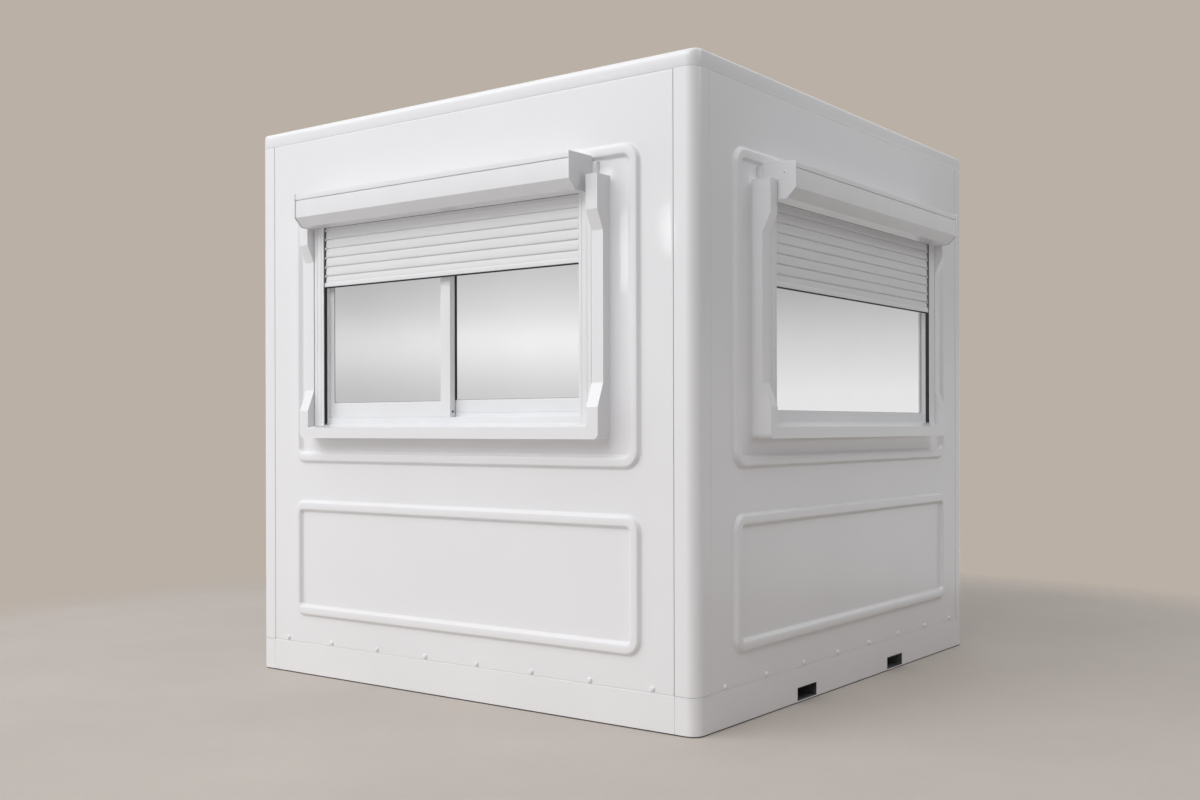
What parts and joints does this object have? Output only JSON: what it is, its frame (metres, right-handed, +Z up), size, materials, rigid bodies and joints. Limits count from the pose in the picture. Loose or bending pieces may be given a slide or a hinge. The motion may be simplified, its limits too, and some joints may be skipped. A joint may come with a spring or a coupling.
{
  "type": "modular office pod",
  "caption": "Small moulded cabin with rounded corners, windows under roller shutters, a closed back door and a plinth with fork pockets for lifting.",
  "frame": {"origin": "centre of the footprint, on the ground, on the underside of the middle floor bearer", "axes": "+Z up; -Y faces the front window; +X is the right side as seen from the front"},
  "size_m": [2.64, 2.668, 2.4],
  "materials": {
    "gelcoat": "glossy white gelcoat on moulded fibreglass",
    "white_aluminium": "satin white powder coat",
    "shutter_slats": "satin light grey-white coil coat",
    "glass": "smooth reflective window glass",
    "galvanised_steel": "dull galvanised steel",
    "floor_board": "sealed floor board",
    "handle_metal": "satin stainless steel",
    "rubber_seal": "matt black rubber and brush seal"
  },
  "bodies": {
    "root": {"plinth_front": "gelcoat", "plinth_back": "gelcoat", "plinth_left": "gelcoat", "plinth_right": "gelcoat", "fork_pockets": "galvanised_steel", "floor_bearers": "galvanised_steel", "floor_deck": "floor_board", "corner_post_front_left": "gelcoat", "corner_post_front_right": "gelcoat", "corner_post_back_left": "gelcoat", "corner_post_back_right": "gelcoat", "wall_front": "gelcoat", "wall_right": "gelcoat", "wall_left": "gelcoat", "wall_back": "gelcoat", "roof_cap": "gelcoat", "front_surround": "gelcoat", "front_window_frame": "white_aluminium", "front_sash_left": "white_aluminium", "front_sash_right": "white_aluminium", "front_glass": "glass", "front_shutter_box": "white_aluminium", "front_shutter_caps": "white_aluminium", "front_shutter_rails": "white_aluminium", "front_shutter_curtain": "shutter_slats", "front_shutter_bar": "shutter_slats", "right_surround": "gelcoat", "right_window_frame": "white_aluminium", "right_glass": "glass", "right_shutter_box": "white_aluminium", "right_shutter_caps": "white_aluminium", "right_shutter_rails": "white_aluminium", "right_shutter_curtain": "shutter_slats", "right_shutter_bar": "shutter_slats", "left_surround": "gelcoat", "left_window_frame": "white_aluminium", "left_glass": "glass", "left_shutter_box": "white_aluminium", "left_shutter_caps": "white_aluminium", "left_shutter_rails": "white_aluminium", "left_shutter_curtain": "shutter_slats", "left_shutter_bar": "shutter_slats", "door_frame": "white_aluminium", "door_leaf": "gelcoat", "door_handle": "handle_metal"}
  },
  "joints": []
}
